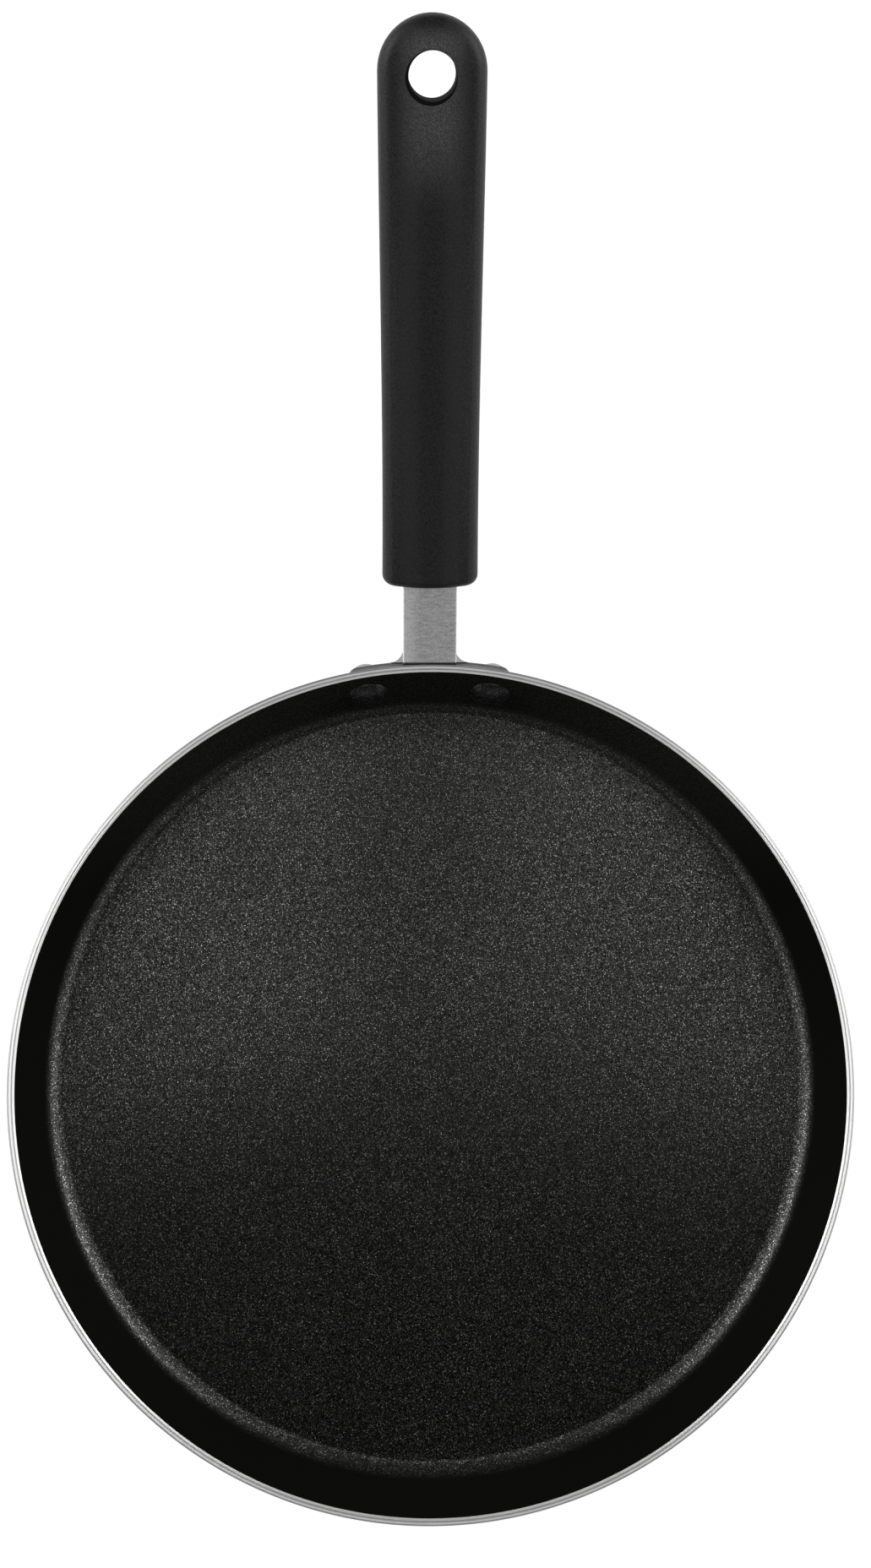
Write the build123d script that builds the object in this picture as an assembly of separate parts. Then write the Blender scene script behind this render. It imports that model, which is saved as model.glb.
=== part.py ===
from build123d import *
import math
import os

# A crepe pan: a shallow flared aluminium pan with a bare machined rim and a black coating inside,
# a cast bracket riveted to its wall, and a moulded grip held on the bracket's tang by one screw.
# Millimetres and degrees. The pan stands on the origin, +Z is up and the handle points along +Y.

# Pan
pan_diameter = 240.0
pan_height = 20.0
base_thickness = 3.8
wall_thickness = 2.6
wall_flare = 27.0
floor_corner_radius = 5.0
base_corner_radius = 6.0
coating_thickness = 0.2

# Machined rim
rim_width = 2.3
rim_round = 0.8
rim_groove_inset = 0.65
rim_groove_width = 0.5
rim_groove_depth = 0.2

# Rivets: the axis stands square to the flared wall
rivet_end_inset = 4.95
rivet_height_share = 0.446
shank_diameter = 6.0
inner_head_diameter = 12.6
inner_head_height = 2.6
outer_head_diameter = 10.0
outer_head_height = 4.2
rivet_clearance = 0.05

# Bracket: a flange on the wall, a root under the strap, the strap and its tang
flange_width = 47.4
flange_thickness = 3.6
flange_drop = 5.2
flange_height = 12.0
flange_end_radius = 3.0
flange_edge_round = 0.6
seat_gap = 0.05
handle_slope = 28.0
strap_width = 15.4
strap_thickness = 5.0
strap_rim_gap = 0.3
strap_edge_round = 0.45
root_fillet = 4.0
root_top_fillet = 0.6
root_depth = 7.5
root_bury = 1.2
root_place = 15.0
root_bend_radius = 40.0
shoulder_place = 40.0
tang_width = 11.0
tang_end_place = 84.0
tang_end_radius = 3.0

# Grip, placed along the handle from the strap's foot
grip_start_place = 23.5
grip_waist_place = 56.0
grip_swell_place = 95.0
grip_end_place = 176.9
grip_start_width = 27.3
grip_waist_width = 26.9
grip_swell_width = 27.3
grip_end_width = 28.5
grip_start_thickness = 13.5
grip_waist_thickness = 14.3
grip_swell_thickness = 14.6
grip_end_thickness = 12.5
grip_side_radius = 5.0
side_round_share = 0.9
grip_start_round = 3.0
socket_clearance = 0.25
socket_end_gap = 1.0

# Hang hole
hang_hole_diameter = 12.4
hang_hole_inset = 15.1
hang_hole_round = 0.55

# Grip screw, driven from below into the tang
screw_place = 62.0
screw_diameter = 5.0
screw_head_diameter = 9.0
screw_head_height = 2.0
screw_head_round = 0.7
screw_seat_wall = 2.0
screw_clearance = 0.2
thread_clearance = 0.05
drive_width = 1.0
drive_length = 4.4
drive_depth = 1.2

# How far a cutting body runs past the solid that it cuts
overrun = 2.0

rim_radius = pan_diameter / 2
flare_run = math.tan(math.radians(wall_flare))
flare_cos = math.cos(math.radians(wall_flare))
flare_sin = math.sin(math.radians(wall_flare))
rim_lip = (wall_thickness / flare_cos - rim_width) / flare_run
flange_top = pan_height - flange_drop
flange_bottom = flange_top - flange_height
root_top = flange_top - flange_edge_round
strap_foot = rim_radius + strap_rim_gap
grip_tip_centre = grip_end_place - grip_end_width / 2
hang_hole_place = grip_end_place - hang_hole_inset
screw_seat_depth = strap_thickness + socket_clearance + screw_seat_wall
rivet_grip = wall_thickness - coating_thickness + seat_gap + flange_thickness
rivet_seat_height = flange_bottom + rivet_height_share * flange_height

# Solids that stand on their place and solids that hang from it
up = (Align.CENTER, Align.CENTER, Align.MIN)
down = (Align.CENTER, Align.CENTER, Align.MAX)


def inner_radius(height):
    """Radius of the coated inside of the wall at a height above the base."""
    return rim_radius - rim_width - (pan_height - height) * flare_run


def outer_radius(height):
    """Radius of the bare outside of the wall below the rim's lip."""
    return rim_radius - (pan_height - rim_lip - height) * flare_run


def flange_radius(height):
    """Radius of the flange's outer face in the plane of the handle."""
    return outer_radius(height) + (seat_gap + flange_thickness) / flare_cos


def turned(points, rounds):
    """A solid turned about Z from points in the XZ half plane, some of their corners rounded."""
    with BuildSketch(Plane.XZ) as profile:
        with BuildLine():
            Polyline(*points, close=True)
        make_face()
        for corner, radius in rounds:
            fillet(profile.vertices().sort_by_distance((corner[0], corner[1], 0))[0], radius)
    return revolve(profile.sketch, Axis.Z)


def cavity(skin):
    """The space inside the pan, out to a skin's depth under the coated surface."""
    floor = base_thickness + coating_thickness - skin
    top = pan_height + overrun
    shift = skin / flare_cos
    corner = (inner_radius(floor) + shift, floor)
    points = [(0, floor), corner, (inner_radius(top) + shift, top), (0, top)]
    return turned(points, [(corner, floor_corner_radius + skin)])


def pan_blank(gap):
    """The pan without its cavity, its outside grown by a gap."""
    base_corner = (outer_radius(0) + gap / flare_cos, 0)
    lip_corner = (rim_radius + gap, pan_height)
    points = [(0, 0), base_corner, (rim_radius + gap, pan_height - rim_lip), lip_corner, (0, pan_height)]
    return turned(points, [(base_corner, base_corner_radius), (lip_corner, rim_round)])


def wall_cone(gap):
    """The wall's outside carried on straight past the base's corner, grown by a gap."""
    low = flange_bottom - overrun
    high = pan_height - rim_lip
    shift = gap / flare_cos
    return turned([(0, low), (outer_radius(low) + shift, low), (outer_radius(high) + shift, high), (0, high)], [])


def rim_groove():
    """The fine V groove turned into the top of the rim."""
    inner = rim_radius - rim_width + rim_groove_inset
    outer = inner + rim_groove_width
    middle = inner + rim_groove_width / 2
    return turned([(inner, pan_height), (outer, pan_height), (middle, pan_height - rim_groove_depth)], [])


def rivet_plane(side):
    """Origin on the bare inner wall at a rivet, with Z pointing square out of the pan."""
    height = rivet_seat_height + rivet_grip * flare_sin
    radius = inner_radius(height) + coating_thickness / flare_cos
    seat_radius = radius + rivet_grip * flare_cos
    turn = math.asin((flange_width / 2 - rivet_end_inset) / seat_radius) * side
    outward = (math.sin(turn) * flare_cos, math.cos(turn) * flare_cos, -flare_sin)
    return Plane(origin=(math.sin(turn) * radius, math.cos(turn) * radius, height),
                 x_dir=(math.cos(turn), -math.sin(turn), 0), z_dir=outward)


def domed_head(diameter, height, skirt):
    """A spherical dome standing on the XY plane, with a skirt below it for its seat to trim."""
    radius = diameter / 2
    ball = (radius * radius + height * height) / (2 * height)
    half_turn = math.acos((ball - height) / ball) / 2
    middle = (ball * math.sin(half_turn), height - ball + ball * math.cos(half_turn))
    with BuildSketch(Plane.XZ) as profile:
        with BuildLine():
            ThreePointArc((0, height), middle, (radius, 0))
            Polyline((radius, 0), (radius, -skirt), (0, -skirt), (0, height))
        make_face()
    return revolve(profile.sketch, Axis.Z)


def inner_head(side, skin):
    """The rivet's head inside the pan, grown by the coating's skin."""
    seat = rivet_plane(side)
    inward = Plane(origin=seat.origin, x_dir=seat.x_dir, z_dir=-seat.z_dir)
    return inward * domed_head(inner_head_diameter + 2 * skin, inner_head_height + skin, wall_thickness / 2)


def outer_head(side):
    """The rivet's round head on the flange."""
    head = domed_head(outer_head_diameter, outer_head_height, flange_thickness / 2)
    return rivet_plane(side) * Pos(0, 0, rivet_grip) * head


def rivet_holes():
    """Both rivet holes, run out past the wall and the flange."""
    hole = Cylinder(shank_diameter / 2 + rivet_clearance, 2 * (rivet_grip + overrun))
    return [rivet_plane(side) * hole for side in (1, -1)]


def make_pan_body():
    """The pan: a thick base, a flared wall and the machined rim."""
    return pan_blank(0) - cavity(coating_thickness) - rim_groove() - rivet_holes()


def make_coating():
    """The black film: a skin on the inside of the pan that runs on over both rivet heads."""
    below_rim = Cylinder(rim_radius, pan_height, align=up)
    film = (cavity(coating_thickness) & below_rim) - cavity(0)
    for side in (1, -1):
        film += inner_head(side, coating_thickness) & cavity(coating_thickness)
    return film - [inner_head(side, 0) for side in (1, -1)]


def make_rivets():
    """Two solid rivets, their heads trimmed to the wall inside and to the flange outside."""
    start = -inner_head_height / 2
    length = rivet_grip + outer_head_height / 2 - start
    shank = Cylinder(shank_diameter / 2, length, align=up)
    flange = bracket_flange()
    rivets = []
    for side in (1, -1):
        inside = inner_head(side, 0) & cavity(coating_thickness)
        outside = (outer_head(side) - flange - wall_cone(seat_gap)).solids().sort_by(SortBy.VOLUME)[-1]
        rivets.append((rivet_plane(side) * Pos(0, 0, start) * shank + inside + outside).solid())
    return Compound(children=rivets)


def handle_point(place, depth):
    """A point of the side view: a place along the handle and a depth below its upper face."""
    slope = math.radians(handle_slope)
    return (strap_foot + place * math.cos(slope) + depth * math.sin(slope),
            pan_height + place * math.sin(slope) - depth * math.cos(slope))


def on_handle(shape):
    """Moves a shape to the strap's foot, with Y up along the handle and Z square to its upper face."""
    slope = math.radians(handle_slope)
    upper_face = Plane(origin=(0, strap_foot, pan_height), x_dir=(1, 0, 0),
                       z_dir=(0, -math.sin(slope), math.cos(slope)))
    return upper_face * shape


def leaning(plan, height):
    """A plan at the flange's top, extruded down along the flared wall."""
    return extrude(plan, amount=height / flare_cos, dir=(0, -flare_sin, -flare_cos))


def bracket_flange():
    """The curved flange that hugs the wall and carries both rivets' outer heads."""
    face = flange_radius(flange_top)
    inside = outer_radius(flange_bottom) - overrun
    with BuildSketch(Plane.XY.offset(flange_top)) as plan:
        Circle(face)
        with Locations((0, inside)):
            Rectangle(flange_width, face, align=(Align.CENTER, Align.MIN), mode=Mode.INTERSECT)
        fillet(plan.vertices().filter_by(lambda corner: corner.Y > inside + overrun), flange_end_radius)
    plate = leaning(plan.sketch, flange_height)
    top = plate.faces().sort_by(Axis.Z)[-1]
    bottom = plate.faces().sort_by(Axis.Z)[0]
    return fillet(top.edges() + bottom.edges(), flange_edge_round) - wall_cone(seat_gap)


def handle_side(width):
    """The strap and its root as the side view shows them, extruded to a width about the middle."""
    low = flange_top - root_depth
    bend = handle_point(root_place, strap_thickness)
    outline = [handle_point(0, 0), (strap_foot, flange_top), (flange_radius(low) - root_bury, low), bend,
               handle_point(shoulder_place, strap_thickness), handle_point(shoulder_place, 0)]
    with BuildSketch(Plane.YZ) as side:
        with BuildLine():
            Polyline(*outline, close=True)
        make_face()
        fillet(side.vertices().sort_by_distance((bend[0], bend[1], 0))[0], root_bend_radius)
    return extrude(side.sketch, amount=width / 2, both=True)


def root_corner(height, face, radius):
    """The corner between the strap's right side and a round face, filled in with a concave arc."""
    half = strap_width / 2
    centre = (half + radius, math.sqrt((face + radius) ** 2 - (half + radius) ** 2))
    share = face / (face + radius)
    start = (half, centre[1])
    end = (centre[0] * share, centre[1] * share)
    with BuildSketch(Plane.XY.offset(height)) as plan:
        with BuildLine():
            RadiusArc(start, end, -radius)
            Polyline(end, (half - root_bury, end[1]), start)
        make_face()
    return plan.sketch


def root_fillets():
    """The fillets beside the root: down the flange, and closing in upwards on the strap's top."""
    low = root_corner(root_top, flange_radius(root_top), root_fillet)
    high = root_corner(pan_height - strap_edge_round, strap_foot + root_top_fillet, root_top_fillet)
    below = leaning(low, root_depth) & handle_side(strap_width + 2 * root_fillet)
    right = below + loft([low, high], ruled=True)
    return [right, mirror(right, about=Plane.YZ)]


def rounded_strap():
    """The strap and its root, with the long edges and the foot's edge rounded."""
    strap = handle_side(strap_width)
    foot = Vector(0, strap_foot, pan_height)
    side = strap_width / 2 - seat_gap
    long_edges = strap.edges().filter_by(lambda edge: abs(edge.center().X) > side
                                         and edge.center().Y > strap_foot + seat_gap
                                         and edge.length > root_depth)
    foot_edge = strap.edges().filter_by(lambda edge: (edge.center() - foot).length < seat_gap)
    return fillet(long_edges + foot_edge, strap_edge_round)


def tang():
    """The narrower end of the strap, inside the grip."""
    with BuildSketch() as plan:
        with Locations((0, shoulder_place)):
            Rectangle(tang_width, tang_end_place - shoulder_place, align=(Align.CENTER, Align.MIN))
        fillet(plan.vertices().group_by(Axis.Y)[-1], tang_end_radius)
    return on_handle(extrude(plan.sketch, amount=-strap_thickness))


def screw_hole(clearance, start, end):
    """A round hole for the screw's shank between two depths below the strap's upper face."""
    hole = Cylinder(screw_diameter / 2 + clearance, end - start, align=down)
    return on_handle(Pos(0, screw_place, -start) * hole)


def make_bracket():
    """One casting: the flange on the wall, the root, the strap and the tang."""
    body = bracket_flange() + rounded_strap() + tang() + root_fillets()
    thread = screw_hole(thread_clearance, -overrun, strap_thickness + overrun)
    return body - rivet_holes() - thread


def grip_section(place, width, thickness):
    """A section square to the grip: two crowned faces joined by two round sides."""
    half = thickness / 2
    side = min(grip_side_radius, side_round_share * half)
    centre = width / 2 - side
    crown = (centre ** 2 + half ** 2 - side ** 2) / (2 * (half - side))
    reach = crown / (crown - side)
    join_x = centre * reach
    join_z = (crown - half) * (reach - 1)
    with BuildSketch(Plane.XZ.offset(-place)) as section:
        with BuildLine():
            ThreePointArc((-join_x, join_z), (0, half), (join_x, join_z))
            ThreePointArc((join_x, join_z), (width / 2, 0), (join_x, -join_z))
            ThreePointArc((join_x, -join_z), (0, -half), (-join_x, -join_z))
            ThreePointArc((-join_x, -join_z), (-width / 2, 0), (-join_x, join_z))
        make_face()
    return section.sketch


def grip_blank():
    """The grip's outside about its own middle plane: a loft, its rounded start and its round end."""
    sections = [grip_section(grip_start_place, grip_start_width, grip_start_thickness),
                grip_section(grip_waist_place, grip_waist_width, grip_waist_thickness),
                grip_section(grip_swell_place, grip_swell_width, grip_swell_thickness),
                grip_section(grip_tip_centre, grip_end_width, grip_end_thickness)]
    body = loft(sections)
    body = fillet(body.faces().sort_by(Axis.Y)[0].edges(), grip_start_round)
    size = grip_end_width
    beside = Pos(size / 2, grip_tip_centre, 0) * Box(size, size, size)
    tip = revolve(sections[-1] & beside, Axis((0, grip_tip_centre, 0), (0, 0, 1)), 180)
    return body + tip


def with_hang_hole(blank):
    """The blank with the hang hole bored through it and both its mouths rounded."""
    radius = hang_hole_diameter / 2
    bored = blank - Pos(0, hang_hole_place, 0) * Cylinder(radius, 2 * grip_swell_thickness)
    walls = bored.faces().filter_by(GeomType.CYLINDER)
    walls = walls.filter_by(lambda face: abs(face.radius - radius) < seat_gap)
    mouths = walls.edges().filter_by(lambda edge: edge.geom_type != GeomType.LINE)
    return fillet(mouths, hang_hole_round)


def grip_socket():
    """The room for the strap's end and the tang, in the handle's place."""
    height = strap_thickness + 2 * socket_clearance
    ends = [(strap_width, grip_start_place - overrun, shoulder_place + socket_clearance),
            (tang_width, shoulder_place, tang_end_place + socket_end_gap)]
    lengthwise = (Align.CENTER, Align.MIN, Align.CENTER)
    rooms = [Pos(0, start, 0) * Box(width + 2 * socket_clearance, end - start, height, align=lengthwise)
             for width, start, end in ends]
    return on_handle(Pos(0, 0, -strap_thickness / 2) * (rooms[0] + rooms[1]))


def make_grip():
    """The moulded grip, with its socket, its hang hole and the screw's stepped hole below."""
    body = on_handle(Pos(0, 0, -strap_thickness / 2) * with_hang_hole(grip_blank()))
    deep = grip_swell_thickness
    recess = Cylinder(screw_head_diameter / 2 + screw_clearance, deep, align=down)
    recess = on_handle(Pos(0, screw_place, -screw_seat_depth) * recess)
    return body - grip_socket() - screw_hole(screw_clearance, strap_thickness, deep) - recess


def make_grip_screw():
    """The pan-head screw that holds the grip on the tang from below."""
    head = Cylinder(screw_head_diameter / 2, screw_head_height, align=down)
    head = fillet(head.edges().sort_by(Axis.Z)[0], screw_head_round)
    slot = Pos(0, 0, -screw_head_height) * Box(drive_length, drive_width, 2 * drive_depth)
    head = head - slot - Rot(0, 0, 90) * slot
    shank = Cylinder(screw_diameter / 2, screw_seat_depth, align=up)
    return on_handle(Pos(0, screw_place, -screw_seat_depth) * (head + shank))


parts = {
    "pan_body": make_pan_body(),
    "nonstick_coating": make_coating(),
    "handle_bracket": make_bracket(),
    "rivets": make_rivets(),
    "grip": make_grip(),
    "grip_screw": make_grip_screw(),
}

os.makedirs("parts", exist_ok=True)
for name, shape in parts.items():
    export_step(shape, f"parts/{name}.step")
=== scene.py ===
import math

import bmesh
import bpy
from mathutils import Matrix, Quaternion, Vector


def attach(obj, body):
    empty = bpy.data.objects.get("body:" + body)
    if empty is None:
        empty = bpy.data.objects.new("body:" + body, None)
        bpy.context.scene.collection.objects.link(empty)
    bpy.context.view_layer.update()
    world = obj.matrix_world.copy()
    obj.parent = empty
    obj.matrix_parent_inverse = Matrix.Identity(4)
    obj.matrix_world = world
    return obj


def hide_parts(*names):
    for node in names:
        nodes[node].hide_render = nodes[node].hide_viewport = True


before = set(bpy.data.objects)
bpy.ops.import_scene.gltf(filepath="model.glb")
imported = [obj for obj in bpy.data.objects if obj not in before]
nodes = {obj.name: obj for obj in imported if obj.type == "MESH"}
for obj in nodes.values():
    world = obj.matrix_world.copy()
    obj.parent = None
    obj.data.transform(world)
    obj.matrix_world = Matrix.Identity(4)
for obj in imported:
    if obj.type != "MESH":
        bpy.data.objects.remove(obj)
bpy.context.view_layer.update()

MM = 0.001

# The pan's sizes, as the CAD model has them; the lip is the flat outer edge above the flared wall
rim_radius = 120.0 * MM
rim_height = 20.0 * MM
rim_width = 2.3 * MM
rim_round = 0.8 * MM
rim_groove = (118.35 * MM, 118.6 * MM, 118.85 * MM)
rim_groove_depth = 0.2 * MM
wall_thickness = 2.6 * MM
wall_flare = math.radians(27.0)
lip_height = (wall_thickness / math.cos(wall_flare) - rim_width) / math.tan(wall_flare)
base_thickness = 3.8 * MM
base_corner = 6.0 * MM
floor_corner = 5.0 * MM
film_thickness = 0.2 * MM

# The rim's bevel beside the film, which the CAD model leaves out: its width and its height
rim_bevel = (0.45 * MM, 0.25 * MM)

# How finely the pan and its film are turned
turn_steps = 360
level_rings = (30.0 * MM, 60.0 * MM, 90.0 * MM)
outer_corner_steps = 16
film_corner_steps = 12
rim_round_steps = 8
outer_wall_ring = 12.0 * MM
film_wall_rings = (10.0 * MM, 15.0 * MM)
sharp_angle = math.radians(24.0)

# The film over the rivet heads: its place on the wall and its size, and the dome as part of a circle
cap_height_on_wall = 10.9 * MM
cap_turn = math.asin(18.75 / 118.0)
cap_radius = 6.5 * MM
cap_rise = 2.8 * MM
cap_foot = -0.4
cap_arc_deg = 46
cap_arc_step_deg = 3
cap_sides = 96

# The photograph's camera, fitted to the rim, the floor and the handle
camera_place = (-13.09 * MM, 60.0 * MM, 553.8 * MM)
camera_turn_deg = (5.631, -1.528, -0.460)
camera_lens = 42.672
camera_sensor = 36.0
camera_shift_y = -0.06
camera_clip_start = 0.01

# Noise patterns: cells in a metre, detail and roughness
film_grain = (3600.0, 2.0, 0.6)
film_cloud = (16.0, 3.0, 0.55)
# the speckle of the painted light on the film's wall
wall_light_speckle = (2600.0, 2.0, 0.6)
cap_grain = (2300.0, 2.0, 0.7)
turning_rings = (2600.0, 3.0, 0.6)
turning_lines = (700.0, 4.0, 0.7)
turning_cloud = (60.0, 2.0, 0.5)
turning_speck = (2200.0, 2.0, 0.6)
casting_grain = (2000.0, 3.0, 0.65)
grinding_streaks = (1500.0, 3.0, 0.6)
grip_grain = (1700.0, 2.0, 0.6)
grip_fine = (3200.0, 2.0, 0.6)
grip_patch = (90.0, 3.0, 0.6)
blasted_detail = (3.0, 0.65)

# Patterns of dots: cells in a metre, and where in its cell a dot starts and stops to fade
cap_dots = (2600.0, 0.05, 0.4)
grip_dots = (2300.0, 0.05, 0.45)
film_dot_fade = (0.08, 0.5)
dot_rarity = 5.0

# Bumps: their height and strength
film_bump = (0.02 * MM, 0.5)
cap_bump = (0.03 * MM, 0.5)
turning_bump = (0.02 * MM, 0.5)
blasted_bump = (0.12 * MM, 0.6)
casting_bump = (0.05 * MM, 0.6)
grip_bump = (0.08 * MM, 0.8)

# Roughness: its least value and the extra that a pattern adds
turning_rough = (0.48, 0.2)
metal_rough = (0.38, 0.2)
grip_rough = (0.38, 0.1)

# The film's flecks: two layers of dots with their shares, a finer grain, and slow clouds over all of it
film_dot_layers = ((3000.0, 4.7), (4300.0, 2.7))
grain_step = (0.3, 0.8)
film_grain_share = 0.3
cloud_least = 0.7
cloud_gain = 0.6
fleck_level = 0.141
fleck_white = (0.985, 1.0, 0.965, 1.0)

# Some flecks lie level and shine more: the chances at which they start to, and both kinds' roughness
level_chance = (0.35, 0.5)
level_rough = 0.18
fleck_rough = 0.6

# Where the flecks fade out on the corner, where a painted highlight brightens them at the sides, and where a
# painted shade dulls them before the corner
fleck_fade = (107.8 * MM, 111.6 * MM)
corner_reach = (106.8 * MM, 109.6 * MM)
corner_highlight_gain = 3.2
corner_shade_ring = (98.0 * MM, 107.0 * MM)
corner_shade_side = (-30.0 * MM, 50.0 * MM)
corner_shade_share = 0.4

# The film's wall, with painted light in faint flecks towards the handle
wall_black = (0.0042, 0.0042, 0.0036, 1.0)
wall_lit_grey = (0.032, 0.032, 0.028, 1.0)
wall_light_reach = (50.0 * MM, 112.0 * MM)
wall_rough = 0.25
film_specular = 0.04
film_specular_tint = 0.35

# The film over the rivet heads
cap_grain_step = (0.5, 0.85)
cap_grain_share = 0.4
cap_dot_share = 0.9
cap_greys = (0.005, 0.34)
cap_metallic = 0.3
cap_rough = 0.33
cap_specular = 0.35

# The turned metal: bright on top of the rim, satin outside and below
rim_top = (rim_height - 1.3 * MM, rim_height - 0.8 * MM)
rim_bright = 0.86
rim_clouded = (0.76, 0.76, 0.75, 1.0)
satin_greys = (0.33, 0.5)
turning_cloud_share = 0.3
turning_line_step = (0.4, 0.9)
turning_speck_step = (0.0, 0.6)
turning_anisotropy = 0.85
quarter_turn = 0.25

# Duller bands turned into the top of the rim: from and to a radius, their grey and how broken they are
rim_bands = ((118.35 * MM, 118.85 * MM, 0.5, 0.6), (119.35 * MM, 120.3 * MM, 0.42, 0.0))
band_edge = 0.06 * MM

# The cast bracket, the ground faces of its strap, painted light towards the strap's left, a painted
# highlight along its right edge and a painted shade line at its foot
strap_half = 7.7 * MM
strap_edge = 0.15 * MM
strap_shaded_foot = (120.45 * MM, 120.75 * MM)
lit_left = (-2.0 * MM, -strap_half)
lit_left_share = 0.45
highlight_right = (strap_half - 1.5 * MM, strap_half)
highlight_right_share = 0.3
casting_step = (0.2, 0.8)
casting_share = 0.6
streak_step = (0.25, 0.75)
streak_share = 0.4
streak_turn = (0.0, 0.0, 0.12)
streak_stretch = (0.25, 1.0, 1.0)
cast_greys = (0.2, 0.36)
ground_greys = (0.36, 0.88)

# The rivets' heads and the screw: grey, cells in a metre and spread of the grey
blasted_step = (0.25, 0.75)
rivet_look = (0.45, 1500.0, 0.12)
screw_look = (0.55, 900.0, 0.08)

# The grip: a point on the handle, its direction, the painted sheen at its end, its painted highlight stripes
# and the painted shade in its hole
handle_foot = (0.0, 120.3 * MM, 20.0 * MM)
handle_direction = (0.0, 0.88295, 0.46947)
sheen_places = (126.5 * MM, 151.0 * MM, 169.0 * MM, 175.0 * MM)
sheen_half_width = (2.0 * MM, 11.0 * MM)
highlight_stripe_places = (2.0 * MM, 5.0 * MM, 6.5 * MM, 9.5 * MM)
highlight_stripe_share = 0.35
highlight_stripe_grey = 0.045
hole_shade_centre = (-0.35 * MM, 263.89 * MM, 93.52 * MM)
hole_axis = (0.0, -0.46947, 0.88295)
hole_shade = (6.65 * MM, 6.85 * MM)
hole_shade_grey = 0.003
hole_rough_gain = 0.5
grip_step = (0.3, 0.7)
grip_greys = (0.013, 0.031)
sheen_fine_share = 0.4
sheen_greys = (0.03, 0.28)
grip_specular = 0.19

# The studio: a white floor with a share of real shade near the pan, and a dim ceiling and walls
floor_radius = 6.0
floor_sides = 128
floor_drop = 0.1 * MM
floor_paint = 0.95
floor_white = 1.26
floor_white_share = 0.7
floor_shade_reach = (0.3, 0.9)
world_level = 0.3
room_level = 0.08
room_height = 1.7
room_size = 6.0
wall_gap = 0.05

# Lamps in pairs: name, the pair's middle in X, the right one's place from there, size, level where 1 is
# white, turn in degrees about its own axis, and the only piece it lights
light_target = (0.0, 0.05, 0.0)
lamp_pairs = (
    ("light", 0.0, (1.9, 0.8, 0.75), (1.5, 1.1), 4.0, 0.0, None),
    ("light_over", 0.03, (0.303, 0.067, 1.2), (0.46, 0.52), 1.63, 15.0, None),
    ("light_rim", 0.0, (1.9, 0.3, 0.95), (2.4, 1.2), 2.5, 0.0, "pan_turned"),
    ("light_film", 0.0, (1.9, 0.9, 0.65), (1.5, 0.9), 4.8, 0.0, "film_turned"),
)

# Single lamps: name, place, size, level and the only piece it lights
single_lamps = (
    ("light_rim_over", (0.0, 0.1, 1.25), (0.9, 0.9), 0.8, "pan_turned"),
    ("light_front", (0.0, -1.85, 1.15), (2.4, 0.8), 0.75, None),
)


def make_camera():
    """The camera stands over the pan, a little towards the handle, and looks almost straight down."""
    data = bpy.data.cameras.new("camera")
    data.lens = camera_lens
    data.sensor_width = camera_sensor
    data.shift_y = camera_shift_y
    data.clip_start = camera_clip_start
    camera = bpy.data.objects.new("camera", data)
    camera.location = camera_place
    camera.rotation_euler = [math.radians(angle) for angle in camera_turn_deg]
    bpy.context.scene.collection.objects.link(camera)
    bpy.context.scene.camera = camera
    bpy.context.scene.view_settings.view_transform = "Standard"


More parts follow.
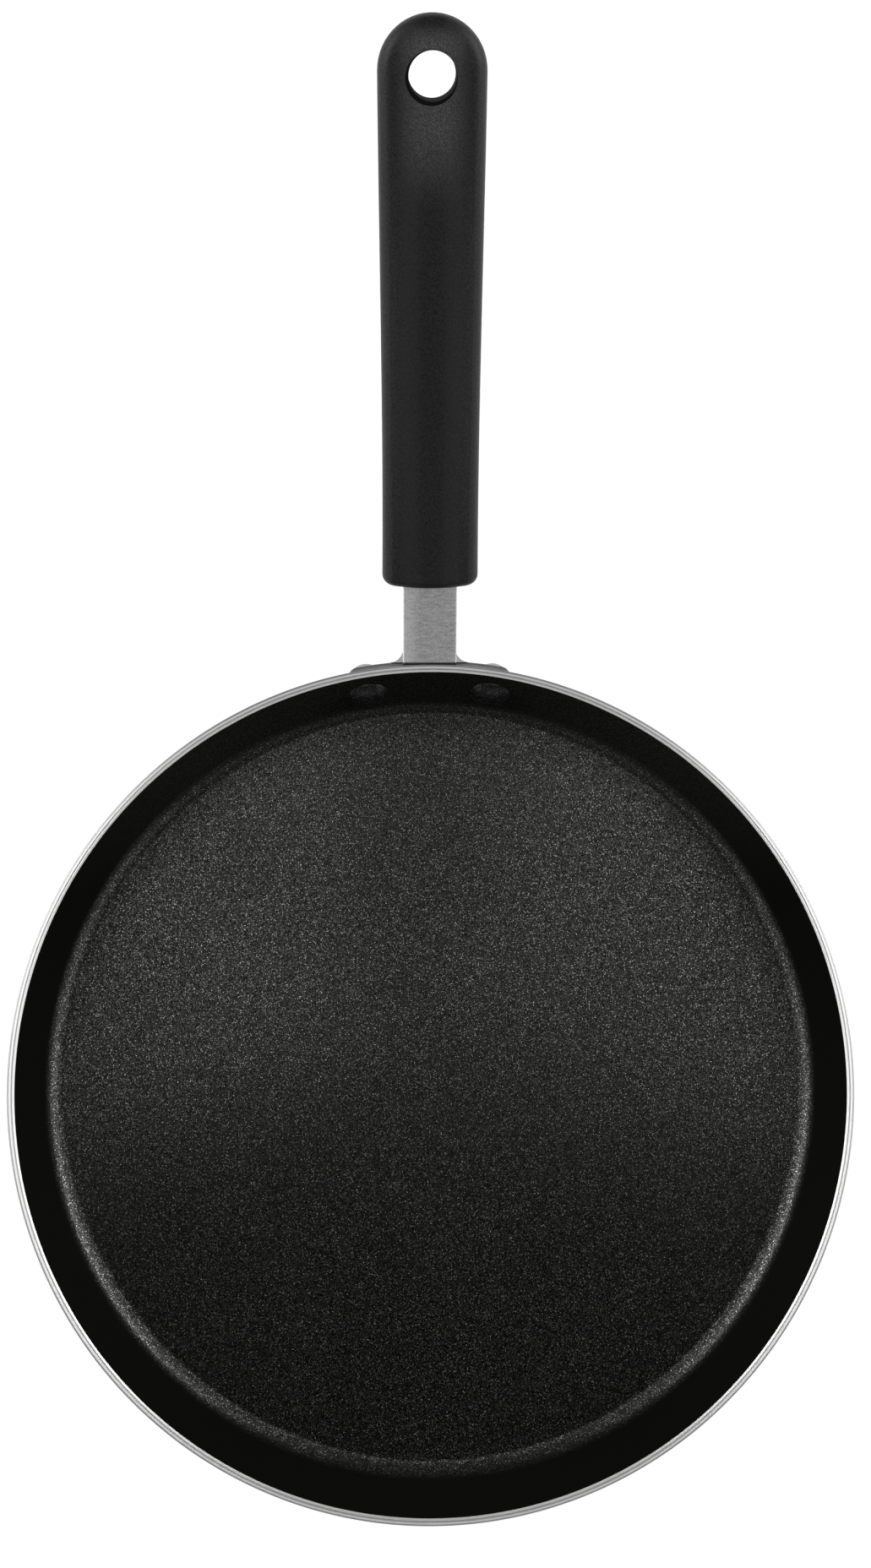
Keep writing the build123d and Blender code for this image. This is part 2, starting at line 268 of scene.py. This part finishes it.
class Graph:
    """Short ways to add and join the nodes of one tree."""

    def __init__(self, tree):
        self.tree = tree

    def set(self, node, key, value):
        """Sets an input of a node to a value or to another node's output."""
        if isinstance(value, bpy.types.NodeSocket):
            self.tree.links.new(value, node.inputs[key])
        else:
            node.inputs[key].default_value = value

    def add(self, kind, inputs=None, **settings):
        """A new node with its settings and its inputs."""
        made = self.tree.nodes.new("ShaderNode" + kind)
        for name, value in settings.items():
            setattr(made, name, value)
        for key, value in (inputs or {}).items():
            self.set(made, key, value)
        return made

    def end(self, shader, kind="OutputMaterial"):
        """Ends the tree in a shader."""
        self.set(self.add(kind), "Surface", shader)

    def math(self, operation, first, second=0.0, clamp=False):
        """One arithmetic step."""
        return self.add("Math", {0: first, 1: second}, operation=operation, use_clamp=clamp).outputs[0]

    def plus(self, first, second, clamp=False):
        """A sum."""
        return self.math("ADD", first, second, clamp)

    def less(self, first, second):
        """A difference."""
        return self.math("SUBTRACT", first, second)

    def times(self, first, second, clamp=False):
        """A product."""
        return self.math("MULTIPLY", first, second, clamp)

    def inverse(self, share):
        """What is left of 1."""
        return self.less(1.0, share)

    def gain(self, share, least, extra):
        """A least value and a share of the extra on top of it."""
        return self.plus(self.times(share, extra), least)

    def ramp(self, value, low, high):
        """0 below low, 1 above high and a smooth step between them."""
        step = self.add("MapRange", {"Value": value, "From Min": low, "From Max": high},
                        interpolation_type="SMOOTHSTEP")
        return step.outputs["Result"]

    def band(self, value, start, full, fade, stop):
        """1 between two places, with a smooth step at each."""
        return self.times(self.ramp(value, start, full), self.inverse(self.ramp(value, fade, stop)))

    def mix(self, share, first, second):
        """A colour between two colours."""
        return self.add("Mix", {0: share, 6: first, 7: second}, data_type="RGBA").outputs[2]

    def place(self):
        """The place on the object."""
        return self.add("TexCoord").outputs["Object"]

    def along(self, place, axis):
        """A place's X, Y or Z."""
        return self.add("SeparateXYZ", {0: place}).outputs[axis]

    def vector(self, operation, first, second):
        """One step with vectors, which gives a vector."""
        return self.add("VectorMath", {0: first, 1: second}, operation=operation).outputs[0]

    def number(self, operation, first, second=(0.0, 0.0, 0.0)):
        """One step with vectors, which gives a number."""
        return self.add("VectorMath", {0: first, 1: second}, operation=operation).outputs["Value"]

    def noise(self, place, scale, detail, roughness):
        """Noise from 0 to 1."""
        inputs = {"Vector": place, "Scale": scale, "Detail": detail, "Roughness": roughness}
        return self.add("TexNoise", inputs).outputs["Fac"]

    def dots(self, place, scale, solid, end):
        """Round dots in random cells, each of its own brightness, and a second chance per cell."""
        cells = self.add("TexVoronoi", {"Vector": place, "Scale": scale}).outputs
        dot = self.inverse(self.ramp(cells["Distance"], solid, end))
        chance = self.add("SeparateColor", {0: cells["Color"]}).outputs
        return self.times(dot, self.math("POWER", chance[0], dot_rarity)), chance[1]

    def bump(self, height, distance, strength):
        """A normal bent by a height."""
        inputs = {"Height": height, "Distance": distance, "Strength": strength}
        return self.add("Bump", inputs).outputs["Normal"]


def start_material(name):
    """An empty node material and the graph that fills it."""
    material = bpy.data.materials.new(name)
    material.use_nodes = True
    material.node_tree.nodes.clear()
    return material, Graph(material.node_tree)


def close_material(material, graph, inputs):
    """Ends a material in a principled shader."""
    graph.end(graph.add("BsdfPrincipled", inputs).outputs[0])
    return material


def grey(level):
    """A neutral colour."""
    return (level, level, level, 1.0)


def greys(levels):
    """A neutral colour for each level."""
    return [grey(level) for level in levels]


def radius_from_axis(graph, place):
    """Distance from the pan's axis."""
    return graph.number("LENGTH", graph.vector("MULTIPLY", place, (1.0, 1.0, 0.0)))


def film_flecks(graph, place):
    """The flecks' brightness, 1 on those that lie level, and the grain under them."""
    grain = graph.noise(place, *film_grain)
    flakes = graph.times(graph.ramp(grain, *grain_step), film_grain_share)
    for scale, share in film_dot_layers:
        sparks, chance = graph.dots(place, scale, *film_dot_fade)
        flakes = graph.plus(flakes, graph.times(sparks, share))
    cloud = graph.gain(graph.noise(place, *film_cloud), cloud_least, cloud_gain)
    return graph.times(flakes, cloud), graph.ramp(chance, *level_chance), grain


def painted_corner_light(graph, place, radius, near_wall):
    """Painted highlight on the corner at the left and right, painted shade before the corner on the handle's
    side.
    """
    # painted highlight on the corner at the left and right
    sideways = graph.math("DIVIDE", graph.along(place, "X"), radius)
    sideways = graph.times(graph.times(sideways, sideways), near_wall)
    # painted shade before the corner on the handle's side
    dull = graph.times(graph.ramp(radius, *corner_shade_ring), graph.ramp(graph.along(place, "Y"), *corner_shade_side))
    dull = graph.times(dull, graph.inverse(sideways))
    return graph.times(graph.gain(sideways, 1.0, corner_highlight_gain), graph.inverse(graph.times(dull, corner_shade_share)))


def film_wall_colour(graph, place):
    """Plain black, with painted light in faint flecks towards the handle."""
    wall_light = graph.ramp(graph.noise(place, *wall_light_speckle), *grain_step)
    # painted light on the wall towards the handle, broken into faint flecks
    wall_light = graph.times(wall_light, graph.ramp(graph.along(place, "Y"), *wall_light_reach))
    return graph.mix(wall_light, wall_black, wall_lit_grey)


def coating_material():
    """Black non-stick film: metal flecks all over the floor and its corner, with a painted highlight and a
    painted shade about the corner, and a dark wall with painted light towards the handle.
    """
    material, graph = start_material("coating_black")
    place = graph.place()
    radius = radius_from_axis(graph, place)
    on_floor = graph.inverse(graph.ramp(radius, *fleck_fade))
    near_wall = graph.ramp(radius, *corner_reach)
    flakes, level, grain = film_flecks(graph, place)
    # painted highlight on the corner at the sides and painted shade before it
    flakes = graph.times(flakes, painted_corner_light(graph, place, radius, near_wall))
    fleck = graph.times(graph.times(flakes, fleck_level), on_floor, clamp=True)
    colour = graph.mix(fleck, film_wall_colour(graph, place), fleck_white)
    level = graph.times(level, graph.inverse(near_wall))
    spread = graph.less(fleck_rough, graph.times(level, fleck_rough - level_rough))
    rough = graph.plus(graph.times(on_floor, graph.less(spread, wall_rough)), wall_rough)
    normal = graph.bump(graph.times(grain, on_floor), *film_bump)
    return close_material(material, graph, {
        "Base Color": colour, "Metallic": on_floor, "Roughness": rough, "Normal": normal,
        "Specular IOR Level": film_specular, "Specular Tint": grey(film_specular_tint)})


def cap_material():
    """The same black film over the rivet heads, with a few flecks."""
    material, graph = start_material("coating_caps")
    place = graph.place()
    grain = graph.noise(place, *cap_grain)
    sparks = graph.dots(place, *cap_dots)[0]
    flakes = graph.plus(graph.times(graph.ramp(grain, *cap_grain_step), cap_grain_share),
                        graph.times(sparks, cap_dot_share))
    colour = graph.mix(flakes, *greys(cap_greys))
    return close_material(material, graph, {
        "Base Color": colour, "Metallic": cap_metallic, "Roughness": cap_rough,
        "Specular IOR Level": cap_specular, "Normal": graph.bump(grain, *cap_bump)})


def banded(graph, radius, on_top, speck, colour):
    """A colour with the duller bands on top of the rim."""
    for low, high, level, broken in rim_bands:
        band = graph.band(radius, low - band_edge, low + band_edge, high - band_edge, high + band_edge)
        band = graph.times(band, graph.gain(speck, 1.0 - broken, broken))
        colour = graph.mix(graph.times(band, on_top), colour, grey(level))
    return colour


def turned_metal():
    """Bare aluminium turned on a lathe: fine rings about the pan's axis."""
    material, graph = start_material("turned_aluminium")
    place = graph.place()
    radius = radius_from_axis(graph, place)
    height = graph.along(place, "Z")
    across = graph.add("CombineXYZ", {"X": radius, "Y": height}).outputs[0]
    rings = graph.noise(across, *turning_rings)
    cloud = graph.times(graph.noise(place, *turning_cloud), turning_cloud_share)
    bright = graph.mix(cloud, grey(rim_bright), rim_clouded)
    lines = graph.plus(cloud, graph.noise(across, *turning_lines))
    satin = graph.mix(graph.ramp(lines, *turning_line_step), *greys(satin_greys))
    on_top = graph.ramp(height, *rim_top)
    speck = graph.ramp(graph.noise(place, *turning_speck), *turning_speck_step)
    colour = banded(graph, radius, on_top, speck, graph.mix(on_top, satin, bright))
    tangent = graph.add("Tangent", direction_type="RADIAL", axis="Z").outputs[0]
    return close_material(material, graph, {
        "Base Color": colour, "Metallic": 1.0, "Roughness": graph.gain(rings, *turning_rough),
        "Anisotropic": turning_anisotropy, "Anisotropic Rotation": quarter_turn, "Tangent": tangent,
        "Normal": graph.bump(rings, *turning_bump)})


def blasted_metal(name, level, scale, spread):
    """Bead-blasted metal with an even grain, lighter and darker by a share of its level."""
    material, graph = start_material(name)
    grain = graph.noise(graph.place(), scale, *blasted_detail)
    levels = (level * (1.0 - spread), level * (1.0 + spread))
    colour = graph.mix(graph.ramp(grain, *blasted_step), *greys(levels))
    return close_material(material, graph, {
        "Base Color": colour, "Metallic": 1.0, "Roughness": graph.gain(grain, *metal_rough),
        "Normal": graph.bump(grain, *blasted_bump)})


def on_strap(graph, place):
    """1 on the top of the strap, short of a thin line at its foot, where the darker cast grey is a painted
    shade in the joint with the rim.
    """
    side = graph.math("ABSOLUTE", graph.along(place, "X"))
    beside = graph.inverse(graph.ramp(side, strap_half, strap_half + strap_edge))
    # the strap's foot is left out, so a painted shade line falls there
    return graph.times(beside, graph.ramp(graph.along(place, "Y"), *strap_shaded_foot))


def bracket_metal():
    """Cast aluminium, dull on the flange; the strap's faces are ground across, with painted light towards
    the left, a painted highlight along the right edge and a painted shade line at the foot.
    """
    material, graph = start_material("cast_aluminium")
    place = graph.place()
    grain = graph.noise(place, *casting_grain)
    drawn = graph.add("Mapping", {"Vector": place, "Rotation": streak_turn, "Scale": streak_stretch})
    streaks = graph.noise(drawn.outputs[0], *grinding_streaks)
    tone = graph.plus(graph.times(graph.ramp(grain, *casting_step), casting_share),
                      graph.times(graph.ramp(streaks, *streak_step), streak_share))
    side = graph.along(place, "X")
    # painted light towards the strap's left and a painted highlight along its right edge
    strap_light = graph.plus(graph.times(graph.ramp(side, *lit_left), lit_left_share),
                      graph.times(graph.ramp(side, *highlight_right), highlight_right_share))
    ground = graph.mix(graph.plus(tone, strap_light), *greys(ground_greys))
    colour = graph.mix(on_strap(graph, place), graph.mix(tone, *greys(cast_greys)), ground)
    return close_material(material, graph, {
        "Base Color": colour, "Metallic": 1.0, "Roughness": graph.gain(grain, *metal_rough),
        "Normal": graph.bump(tone, *casting_bump)})


def sheen_patch(graph, place):
    """1 on the middle of the grip's end, round the hang hole, where a lighter, sparkling sheen is painted.
    """
    arm = graph.vector("SUBTRACT", place, handle_foot)
    lengthwise = graph.band(graph.number("DOT_PRODUCT", arm, handle_direction), *sheen_places)
    side = graph.math("ABSOLUTE", graph.along(place, "X"))
    return graph.times(lengthwise, graph.inverse(graph.ramp(side, *sheen_half_width)))


def hang_hole_shade_mask(graph, place):
    """1 on the hang hole's wall and its rounded edge, a little further out at the left and below, where the
    hole's shade is painted.
    """
    arm = graph.vector("SUBTRACT", place, hole_shade_centre)
    deep = graph.number("DOT_PRODUCT", arm, hole_axis)
    reach = graph.number("LENGTH", arm)
    square = graph.less(graph.times(reach, reach), graph.times(deep, deep))
    return graph.inverse(graph.ramp(graph.math("SQRT", square), *hole_shade))


def grip_colour(graph, place, grain, shaded):
    """Black with a fine grain, painted highlight stripes, a painted sparkling sheen at the end and painted
    shade in the hang hole.
    """
    colour = graph.mix(graph.ramp(grain, *grip_step), *greys(grip_greys))
    side = graph.math("ABSOLUTE", graph.along(place, "X"))
    # painted highlight stripes on both flanks of the grip's top
    highlight_stripe = graph.times(graph.band(side, *highlight_stripe_places), highlight_stripe_share)
    colour = graph.mix(highlight_stripe, colour, grey(highlight_stripe_grey))
    fine = graph.times(graph.ramp(graph.noise(place, *grip_fine), *grip_step), sheen_fine_share)
    sparks = graph.dots(place, *grip_dots)[0]
    sheen_colour = graph.mix(graph.plus(fine, sparks, clamp=True), *greys(sheen_greys))
    # painted sheen round the hang hole
    colour = graph.mix(sheen_patch(graph, place), colour, sheen_colour)
    # painted shade in the hang hole
    return graph.mix(shaded, colour, grey(hole_shade_grey))


def grip_material():
    """Black moulded plastic with a fine spark-eroded grain, with a painted sheen a little lighter at its
    end.
    """
    material, graph = start_material("grip_plastic")
    place = graph.place()
    grain = graph.noise(place, *grip_grain)
    shaded = hang_hole_shade_mask(graph, place)
    rough = graph.gain(graph.noise(place, *grip_patch), *grip_rough)
    return close_material(material, graph, {
        "Base Color": grip_colour(graph, place, grain, shaded),
        "Roughness": graph.plus(rough, graph.times(shaded, hole_rough_gain)),
        "Specular IOR Level": grip_specular, "Normal": graph.bump(grain, *grip_bump)})


def wall_radius(height, inset):
    """Radius of the flared wall at a height, set in from its outside by a thickness square to it."""
    outside = rim_radius - (rim_height - lip_height - height) * math.tan(wall_flare)
    return outside - inset / math.cos(wall_flare)


def corner_arc(height, inset, radius, steps):
    """The rounded corner between a level face and the wall's line, from the level face upwards."""
    turn = math.pi / 2 - wall_flare
    centre = (wall_radius(height, inset) - radius * math.tan(turn / 2), height + radius)
    turns = [turn * i / steps for i in range(steps + 1)]
    return [(centre[0] + radius * math.sin(t), centre[1] - radius * math.cos(t)) for t in turns]


def smooth_piece(name, made):
    """An object of the scene from a mesh that was built up, with its faces shaded smooth."""
    bmesh.ops.recalc_face_normals(made, faces=made.faces)
    for face in made.faces:
        face.smooth = True
    mesh = bpy.data.meshes.new(name)
    made.to_mesh(mesh)
    made.free()
    piece = bpy.data.objects.new(name, mesh)
    bpy.context.scene.collection.objects.link(piece)
    return piece


def lathe(name, outline):
    """A solid turned about Z from an outline of (radius, height) that runs from axis to axis."""
    made = bmesh.new()
    turns = [2 * math.pi * i / turn_steps for i in range(turn_steps)]
    rings = []
    for radius, height in outline:
        if radius == 0:
            rings.append([made.verts.new((0, 0, height))])
        else:
            places = [(radius * math.cos(t), radius * math.sin(t), height) for t in turns]
            rings.append([made.verts.new(place) for place in places])
    for low, high in zip(rings, rings[1:]):
        for i in range(turn_steps):
            j = (i + 1) % turn_steps
            corners = [low[i % len(low)], low[j % len(low)], high[j % len(high)], high[i % len(high)]]
            made.faces.new(list(dict.fromkeys(corners)))
    piece = smooth_piece(name, made)
    piece.data.set_sharp_from_angle(angle=sharp_angle)
    return piece


def outside_of_pan():
    """The pan's outline from the middle of its base to the outer edge of its top."""
    outline = [(0, 0)] + [(radius, 0) for radius in level_rings]
    outline += corner_arc(0, 0, base_corner, outer_corner_steps)
    outline += [(wall_radius(outer_wall_ring, 0), outer_wall_ring), (rim_radius, rim_height - lip_height)]
    for i in range(rim_round_steps + 1):
        t = math.pi / 2 * i / rim_round_steps
        outline.append((rim_radius - rim_round * (1 - math.cos(t)),
                        rim_height - rim_round * (1 - math.sin(t))))
    return outline


def under_film():
    """The line between metal and film, from the wall's corner inwards to the axis."""
    arc = corner_arc(base_thickness, wall_thickness - film_thickness, floor_corner + film_thickness,
                     film_corner_steps)
    return arc[::-1] + [(0, base_thickness)]


def make_pan():
    """The turned pan: level base, flared wall, rounded lip, groove and a bevel that meets the film."""
    groove_in, groove_low, groove_out = rim_groove
    bevel_width, bevel_height = rim_bevel
    under = wall_radius(rim_height - bevel_height, wall_thickness - film_thickness)
    outline = outside_of_pan()
    outline += [(groove_out, rim_height), (groove_low, rim_height - rim_groove_depth)]
    outline += [(groove_in, rim_height), (under + bevel_width, rim_height)]
    outline += [(under, rim_height - bevel_height)]
    piece = lathe("pan_turned", outline + under_film())
    piece.data.materials.append(turned_metal())
    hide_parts("pan_body")
    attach(piece, "root")


def make_film():
    """The coating: a thin shell over the floor and up the wall, to the foot of the rim's bevel."""
    surface = base_thickness + film_thickness
    top = rim_height - rim_bevel[1]
    skin = [(0, surface)] + [(radius, surface) for radius in level_rings]
    skin += corner_arc(surface, wall_thickness, floor_corner, outer_corner_steps)
    skin += [(wall_radius(height, wall_thickness), height) for height in film_wall_rings + (top,)]
    skin += [(wall_radius(top, wall_thickness - film_thickness), top)]
    piece = lathe("film_turned", skin + under_film())
    piece.data.materials.append(coating_material())
    caps = make_caps()
    for part in (piece, caps):
        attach(part, "root")
    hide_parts("nonstick_coating")
    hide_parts("nonstick_coating")


def cap_line():
    """The dome's line from its sunk foot to its middle, as shares of its radius and of its rise."""
    edge = math.radians(cap_arc_deg)
    line = [(1.0, cap_foot)]
    for degrees in range(cap_arc_deg, 1, -cap_arc_step_deg):
        t = math.radians(degrees)
        line.append((math.sin(t) / math.sin(edge), (math.cos(t) - math.cos(edge)) / (1 - math.cos(edge))))
    return line


def cap_dome(made, turn):
    """Adds one dome, square to the wall, at a turn from the handle's direction."""
    radius = wall_radius(cap_height_on_wall, wall_thickness)
    centre = Vector((math.sin(turn) * radius, math.cos(turn) * radius, cap_height_on_wall))
    inward = Vector((-math.sin(turn) * math.cos(wall_flare), -math.cos(turn) * math.cos(wall_flare),
                     math.sin(wall_flare)))
    across = Vector((math.cos(turn), -math.sin(turn), 0))
    upward = inward.cross(across)
    turns = [2 * math.pi * i / cap_sides for i in range(cap_sides)]
    rings = []
    for share, lift in cap_line():
        middle = centre + inward * lift * cap_rise
        reach = cap_radius * share
        rings.append([made.verts.new(middle + (across * math.cos(t) + upward * math.sin(t)) * reach)
                      for t in turns])
    for low, high in zip(rings, rings[1:]):
        for i in range(cap_sides):
            j = (i + 1) % cap_sides
            made.faces.new((low[i], low[j], high[j], high[i]))
    made.faces.new(rings[-1])
    made.faces.new(rings[0][::-1])


def make_caps():
    """The film over the two rivet heads."""
    made = bmesh.new()
    for side in (1, -1):
        cap_dome(made, side * cap_turn)
    piece = smooth_piece("film_caps", made)
    piece.data.materials.append(cap_material())
    return piece


def dress(node, material):
    """Puts a material in all slots of a CAD node."""
    slots = nodes[node].data.materials
    slots.clear()
    slots.append(material)


def seen_rays(graph):
    """1 for the rays that show a white surrounding: from the camera, and mirrored or let through."""
    rays = graph.add("LightPath").outputs
    mirrored = graph.math("MAXIMUM", rays["Is Glossy Ray"], rays["Is Transmission Ray"])
    return graph.math("MAXIMUM", rays["Is Camera Ray"], mirrored)


def floor_material():
    """White where it is seen, with a share of the real shade near the pan, and clear from below."""
    material, graph = start_material("floor_white")
    far = graph.ramp(radius_from_axis(graph, graph.place()), *floor_shade_reach)
    strength = graph.less(floor_white, graph.times(far, floor_white - 1.0))
    share = graph.times(seen_rays(graph), graph.gain(far, floor_white_share, 1.0 - floor_white_share))
    paint = graph.add("BsdfDiffuse", {"Color": grey(floor_paint)}).outputs[0]
    white = graph.add("Emission", {"Color": grey(1.0), "Strength": strength}).outputs[0]
    above = graph.add("MixShader", {0: share, 1: paint, 2: white}).outputs[0]
    clear = graph.add("BsdfTransparent").outputs[0]
    from_below = graph.add("NewGeometry").outputs["Backfacing"]
    graph.end(graph.add("MixShader", {0: from_below, 1: above, 2: clear}).outputs[0])
    return material


def make_floor():
    """A round white floor just under the pan."""
    bpy.ops.mesh.primitive_circle_add(vertices=floor_sides, radius=floor_radius, fill_type="NGON",
                                      location=(0, 0, -floor_drop))
    floor = bpy.context.object
    floor.name = "floor"
    floor.data.materials.append(floor_material())


def make_world():
    """White where it is seen, a plain soft level as light."""
    world = bpy.data.worlds.new("studio")
    bpy.context.scene.world = world
    world.use_nodes = True
    world.node_tree.nodes.clear()
    graph = Graph(world.node_tree)
    strength = graph.gain(seen_rays(graph), world_level, 1.0 - world_level)
    back = graph.add("Background", {"Color": grey(1.0), "Strength": strength}).outputs[0]
    graph.end(back, "OutputWorld")


def area_light(name, place, size, level, turn_deg, piece):
    """A soft rectangular lamp that points at the pan and isn't seen itself; it may light one piece only."""
    data = bpy.data.lights.new(name, "AREA")
    data.shape = "RECTANGLE"
    data.size, data.size_y = size
    data.energy = level * math.pi * size[0] * size[1]
    lamp = bpy.data.objects.new(name, data)
    lamp.location = place
    aim = (Vector(light_target) - Vector(place)).to_track_quat("-Z", "Y")
    lamp.rotation_euler = (aim @ Quaternion((0.0, 0.0, 1.0), math.radians(turn_deg))).to_euler()
    lamp.visible_camera = False
    bpy.context.scene.collection.objects.link(lamp)
    if piece:
        lit = bpy.data.collections.new(name + "_on")
        lit.objects.link(bpy.data.objects[piece])
        lamp.light_linking.receiver_collection = lit


def make_lights():
    """Softboxes at both sides, a turned pair over the pan, one low in front, and some for one piece."""
    for side, word in ((-1, "left"), (1, "right")):
        for name, middle, (x, y, z), size, level, turn_deg, piece in lamp_pairs:
            place = (middle + side * x, y, z)
            area_light(name + "_" + word, place, size, level, -side * turn_deg, piece)
    for name, place, size, level, piece in single_lamps:
        area_light(name, place, size, level, 0.0, piece)


def room_material():
    """The studio's dim ceiling and walls."""
    material, graph = start_material("room_grey")
    graph.end(graph.add("Emission", {"Color": grey(1.0), "Strength": room_level}).outputs[0])
    return material


def card(name, corners, material):
    """A flat stage card through four corners, which the camera doesn't see."""
    mesh = bpy.data.meshes.new(name)
    mesh.from_pydata(corners, [], [(0, 1, 2, 3)])
    mesh.materials.append(material)
    made = bpy.data.objects.new(name, mesh)
    made.visible_camera = False
    bpy.context.scene.collection.objects.link(made)


def make_room():
    """A dim ceiling and dim walls in front and behind, which keep the white out of the black surfaces."""
    half = room_size / 2
    material = room_material()
    card("ceiling_card", [(-half, -half, room_height), (half, -half, room_height),
                          (half, half, room_height), (-half, half, room_height)], material)
    for side, word in ((-1, "front"), (1, "back")):
        card(word + "_card", [(-half, side * half, wall_gap), (half, side * half, wall_gap),
                              (half, side * half, room_height), (-half, side * half, room_height)], material)


make_camera()
make_pan()
make_film()
dress("handle_bracket", bracket_metal())
dress("rivets", blasted_metal("rivet_aluminium", *rivet_look))
dress("grip", grip_material())
dress("grip_screw", blasted_metal("screw_steel", *screw_look))
make_floor()
make_room()
make_world()
make_lights()
